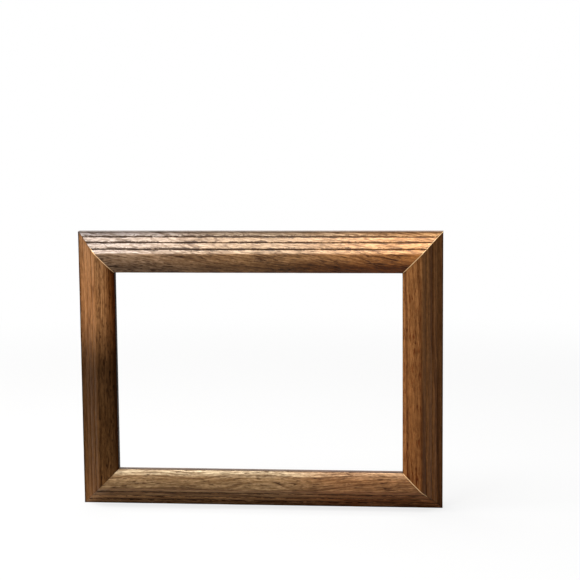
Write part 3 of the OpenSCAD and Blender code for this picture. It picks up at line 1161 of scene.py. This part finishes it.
def add_outline(drawing, tip):
    """Adds the button's outline round its heel and its tip."""
    lean = math.asin((BUTTON_R - TIP_R) / BUTTON_REACH)
    touch = Vector((math.sin(lean), 0, math.cos(lean)))
    first = drawing.verts.new(touch * BUTTON_R * MM)
    heel_turn = math.radians(180) + 2 * lean
    tip_turn = math.radians(180) - 2 * lean
    heel_end = arc_from(drawing, first, (0, 0, 0), (0, -1, 0), heel_turn, HEEL_STEPS)
    goal = tip + Vector((touch.x, 0, -touch.z)) * TIP_R * MM
    side_end = step_to(drawing, heel_end, goal)
    last = arc_from(drawing, side_end, tip, (0, -1, 0), tip_turn, TIP_STEPS)
    drawing.edges.new((last, first))


def draw_button():
    """A button with its screw at the origin, its tip along X and its inner face at y = 0."""
    drawing = bmesh.new()
    tip = Vector((BUTTON_REACH * MM, 0, 0))
    foot = add_dimple(drawing, tip)
    add_outline(drawing, tip)
    add_hole(drawing, BUTTON_HOLE_R, ROUND_STEPS)
    rims = [e for e in drawing.edges if not e.link_faces] + foot
    bmesh.ops.triangle_fill(drawing, edges=rims, use_beauty=True)
    ease(drawing, foot, PIP_EASE)
    thicken(drawing, BUTTON_T, BUTTON_EDGE_R)
    return drawing


# %% [markdown]
# The six buttons are alike, so one function draws them all. The table gives each button's name and
# the angle of its tip when open, in degrees about Y.

# %% Place the six buttons
BUTTON_GAP = 0.12
TIP_ANGLES = {
    "top_left": 0, "top_right": 180, "bottom_left": 0, "bottom_right": 180, "left": 90, "right": 90,
}


def screw_place(name):
    """Where a screw's axis meets the back of the wood."""
    middle = middle_of("button_screw_" + name)
    return Vector((middle.x, 0, middle.z))


for name, angle in TIP_ANGLES.items():
    drawing = draw_button()
    turn_about_y(drawing, angle)
    put_at(drawing, screw_place(name) + Vector((0, BUTTON_GAP * MM, 0)))
    button = mesh_object("button_plate_" + name, drawing)
    steel = METALS["button_steel"]
    finish_piece(button, "turn_button_" + name, "button_" + name, steel)

# %% [markdown]
# ## Screws
# Each button turns on a small round-headed screw with a cross recess. Turned parts are one profile
# spun round an axis, which is how the real ones are made too.

# %% Draw a screw
HEAD_R = 2.5
HEAD_H = 1.6
SCREW_L = 9.5
POINT_L = 2.4
HEAD_EASE = 0.15
DOME_STEPS = 10
SCREW_STEPS = 32


def add_profile(drawing, last, steps):
    """Adds straight steps to a turned part's profile: its radius and height at each."""
    for radius, height in steps:
        last = step_to(drawing, last, Vector((radius, height, 0)) * MM)


def draw_screw():
    """A screw along Y, with its head's underside at y = 0."""
    drawing = bmesh.new()
    ball = cap_radius(HEAD_R, HEAD_H)
    pole = drawing.verts.new((0, HEAD_H * MM, 0))
    turn = math.asin(HEAD_R / ball) - HEAD_EASE / ball
    rim = arc_from(drawing, pole, (0, (HEAD_H - ball) * MM, 0), (0, 0, -1), turn, DOME_STEPS)
    steps = [(HEAD_R - HEAD_EASE / 2, 0), (SHANK_R, 0), (SHANK_R, POINT_L - SCREW_L)]
    add_profile(drawing, rim, steps + [(0, -SCREW_L)])
    lathe(drawing, (0, 0, 0), SCREW_STEPS)
    return drawing


# %% [markdown]
# The cross recess is cut by two tapered bars, as a punch would press it. No two screws were left
# at the same angle, so the table gives each cross its own, in degrees.

# %% Cut the crosses and place the screws
HEAD_Y = BUTTON_T + 2 * BUTTON_GAP
RECESS_L = 3.3
RECESS_W = 0.7
RECESS_D = 0.9
FOOT_L_SHARE = 0.5
FOOT_W_SHARE = 0.6
CROSS_ANGLES = {
    "top_left": 20, "top_right": 65, "bottom_left": 8, "bottom_right": 40, "left": 74, "right": 31,
}


def recess_bar(turn):
    """A tapered bar that cuts one arm of the cross."""
    drawing = bmesh.new()
    made = bmesh.ops.create_cube(drawing, size=MM)
    bmesh.ops.scale(drawing, verts=made["verts"], vec=(RECESS_L, 2 * RECESS_D, RECESS_W))
    for point in made["verts"]:
        if point.co.y < 0:
            point.co.x *= FOOT_L_SHARE
            point.co.z *= FOOT_W_SHARE
    turn_about_y(drawing, turn)
    put_at(drawing, (0, HEAD_H * MM, 0))
    return drawing


for name, cross in CROSS_ANGLES.items():
    axis_foot = screw_place(name) + Vector((0, HEAD_Y * MM, 0))
    drawing = draw_screw()
    put_at(drawing, axis_foot)
    screw = mesh_object("button_screw_" + name + "_turned", drawing)
    for quarter in (0, 90):
        bar = recess_bar(cross + quarter)
        put_at(bar, axis_foot)
        cut_away(screw, mesh_object("recess", bar))
    finish_piece(screw, "button_screw_" + name, "frame", METALS["screw_steel"])

# %% [markdown]
# ## Sawtooth hanger
# The frame hangs by a thin brassed strip with teeth along its lower edge, so that it can be set
# level on one wall nail. It is stamped flat, pierced and then bent, and it is drawn the same way.
# First comes the flat sheet: an outline with its teeth, two holes, and triangles between them.

# %% Draw the flat strip
HANGER_L = 45.0
HANGER_H = 9.5
HANGER_Z = 68.3
TOOTH_PITCH = 2.4
TOOTH_D = 1.6
LAST_TOOTH = 4
NAIL_X = 18.5
NAIL_HOLE_R = 0.7
NAIL_HOLE_STEPS = 20

drawing = bmesh.new()
outline = [(-HANGER_L / 2, HANGER_H), (-HANGER_L / 2, 0)]
for i in range(-LAST_TOOTH, LAST_TOOTH + 1):
    outline.append(((i - 0.5) * TOOTH_PITCH, 0))
    outline.append((i * TOOTH_PITCH, TOOTH_D))
outline.append(((LAST_TOOTH + 0.5) * TOOTH_PITCH, 0))
outline += [(HANGER_L / 2, 0), (HANGER_L / 2, HANGER_H)]
places = [Vector((x, 0, HANGER_Z + z)) * MM for x, z in outline]
first = last = drawing.verts.new(places[0])
for goal in places[1:]:
    last = step_to(drawing, last, goal)
drawing.edges.new((last, first))
for side in (-1, 1):
    hole_centre = Vector((side * NAIL_X, 0, HANGER_Z + HANGER_H / 2)) * MM
    add_hole(drawing, NAIL_HOLE_R, NAIL_HOLE_STEPS, hole_centre)
bmesh.ops.triangle_fill(drawing, edges=drawing.edges[:], use_beauty=True)
print("the flat strip has", 2 * LAST_TOOTH + 1, "teeth and", len(drawing.faces), "faces")

# %% [markdown]
# The middle of the strip stands off the wood, so that a wall nail's head fits behind it. The sheet
# is cut across where it bends, lifted along a soft ramp at each side, and thickened last.

# %% Bend and thicken the strip
HANGER_T = 0.9
HANGER_LIFT = 1.6
RAMP_START = 14.9
RAMP_END = 11.1
BENDS = 8
HANGER_EDGE_R = 0.14

for i in range(BENDS + 1):
    for side in (-1, 1):
        x = side * (RAMP_START + (RAMP_END - RAMP_START) * i / BENDS)
        slice_across(drawing, (x * MM, 0, 0), (1, 0, 0))
for point in drawing.verts:
    ramp = min(1, max(0, (RAMP_START - abs(point.co.x) / MM) / (RAMP_START - RAMP_END)))
    point.co.y = HANGER_LIFT * MM * ramp * ramp * (3 - 2 * ramp)
thicken(drawing, HANGER_T, HANGER_EDGE_R)
hanger = mesh_object("sawtooth_strip", drawing)
finish_piece(hanger, "hanger", "frame", METALS["hanger_brass"])

# %% [markdown]
# ## Hanger nails
# Two small round-headed nails hold the strip. They are turned parts like the screws: a few steps of
# a profile, spun round.

# %% Draw the nails
NAIL_HEAD_R = 1.5
NAIL_HEAD_H = 0.8
NAIL_L = 9.0
NAIL_POINT_L = 1.3
NAIL_STEPS = 24
NAIL_DOME = [(0.55, 0.97), (0.95, 0.86), (1.2, 0.62), (NAIL_HEAD_R, 0.15)]

for side, sign in (("left", -1), ("right", 1)):
    drawing = bmesh.new()
    pole = drawing.verts.new((0, NAIL_HEAD_H * MM, 0))
    dome = [(radius, share * NAIL_HEAD_H) for radius, share in NAIL_DOME]
    shank = [(NAIL_HEAD_R, 0), (NAIL_R, 0), (NAIL_R, NAIL_POINT_L - NAIL_L), (0, -NAIL_L)]
    add_profile(drawing, pole, dome + shank)
    lathe(drawing, (0, 0, 0), NAIL_STEPS)
    put_at(drawing, Vector((sign * NAIL_X, HANGER_T, HANGER_Z + HANGER_H / 2)) * MM)
    nail = mesh_object("hanger_nail_" + side + "_turned", drawing)
    finish_piece(nail, "hanger_nail_" + side, "frame", METALS["hanger_brass"])

# %% [markdown]
# ## Corner pins
# Two V-shaped steel pins are driven across each mitre, flush with the back. They are plain folded
# strips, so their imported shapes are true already: they stay, and only take the finish.

# %% Give the pins their finish
for node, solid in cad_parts.items():
    if node.startswith("corner_pin"):
        for slot in solid.material_slots:
            slot.material = METALS["pin_steel"]
        print(node, "keeps its packed shape")

# %% [markdown]
# ## Floor
# The frame stands on a plain pale floor before a white ground. The photo's own floor is cut away
# to white, but a part with no shadow seems to float. So the camera sees the floor's faint shadow
# near the frame, and plain white farther off. To the light the floor is darker than it looks, so
# that it doesn't fill the shaded reeds with a glow that the photo hasn't got.

# %% Make the floor
FLOOR_Z = -FRAME_H / 2 * MM
FLOOR_SIZE = 6
NEAR_FLOOR = 0.35
FAR_FLOOR = 0.8
SHADOWED_SHARE = 0.8

drawing = bmesh.new()
bmesh.ops.create_grid(drawing, x_segments=1, y_segments=1, size=FLOOR_SIZE)
put_at(drawing, (0, 0, FLOOR_Z))
floor = mesh_object("floor", drawing)


def light_path(tree, kind):
    rays = add_node("ShaderNodeLightPath", {}, tree)
    return Signal(rays.outputs["Is " + kind + " Ray"])


def seen_directly(tree):
    """1 for rays from the camera, from a reflection or through glass, and 0 for lighting."""
    seen = light_path(tree, "Camera").larger(light_path(tree, "Glossy"))
    return seen.larger(light_path(tree, "Transmission"))


# %% [markdown]
# The floor's finish mixes its matt grey with a white glow, and only for what the camera sees.

# %% Finish the floor
SHADED_GREY = (0.30, 0.30, 0.30, 1)
SEEN_GREY = (0.40, 0.40, 0.40, 1)
WHITE = (1, 1, 1, 1)

material, shader, spot = new_finish("floor_finish")
tree = material.node_tree
floor_grey = blend(seen_directly(tree), SHADED_GREY, SEEN_GREY)
fill(shader, {"Base Color": floor_grey, "Roughness": 1, "Specular IOR Level": 0})
away = spot.distance((0, 0, FLOOR_Z))
whiteness = step_up(away, NEAR_FLOOR, FAR_FLOOR, SHADOWED_SHARE, 1.0)
glow = add_node("ShaderNodeEmission", {"Color": WHITE, "Strength": 1.0}, tree)
share = light_path(tree, "Camera") * whiteness
sources = {0: share, 1: Signal(shader.outputs[0]), 2: Signal(glow.outputs[0])}
kept_shadow = add_node("ShaderNodeMixShader", sources)
fill(tree.nodes["Material Output"], {"Surface": Signal(kept_shadow.outputs[0])})
floor.data.materials.append(material)
print("the floor lies at", round(FLOOR_Z / MM), "mm")

# %% [markdown]
# ## World
# Behind everything is plain white. It lights the frame only weakly, because the lamps are to give
# it its light side and its dark side.

# %% Make the world
LIGHTING_LEVEL = 0.2

world = bpy.data.worlds.new("white_ground")
scene.world = world
world.use_nodes = True
tree = world.node_tree
level = step_up(seen_directly(tree), 0.0, 1.0, LIGHTING_LEVEL, 1.0)
fill(tree.nodes["Background"], {"Color": WHITE, "Strength": level})
print("the world has", len(tree.nodes), "nodes")

# %% [markdown]
# ## Lamps
# In the photo the light comes from above and a little from the left: the top rail's reeds are the
# brightest, the left stile's outer side is warm, and the right stile's reeds lie in shade. Four
# soft lamps one metre away do that. A sun would draw hard edges that the photo doesn't show.

# %% Make the lamps
def soft_lamp(name, side, height, size, power, colour=(1, 1, 1)):
    """A lamp one metre away. Side is the angle to the left of the front, both in degrees."""
    side = math.radians(side)
    height = math.radians(height)
    out = math.cos(height)
    data = bpy.data.lights.new(name, "AREA")
    data.shape = "RECTANGLE"
    data.size, data.size_y = size
    data.energy = power
    data.color = colour
    place = (-math.sin(side) * out, -math.cos(side) * out, math.sin(height))
    aimed_object(name, data, place)
    print(name, power, "W")


soft_lamp("front_left_lamp", 45, 65, (0.5, 0.5), 15)
soft_lamp("overhead_lamp", 0, 90, (0.45, 1.2), 11)
soft_lamp("back_left_lamp", 135, 65, (0.45, 0.45), 4)
soft_lamp("left_lamp", 80, 35, (0.45, 0.45), 5, (1.0, 0.93, 0.84))

# %% [markdown]
# ## View transform
# The render shows its colours plainly, through the standard view transform.

# %% Set the view transform
scene.view_settings.view_transform = "Standard"
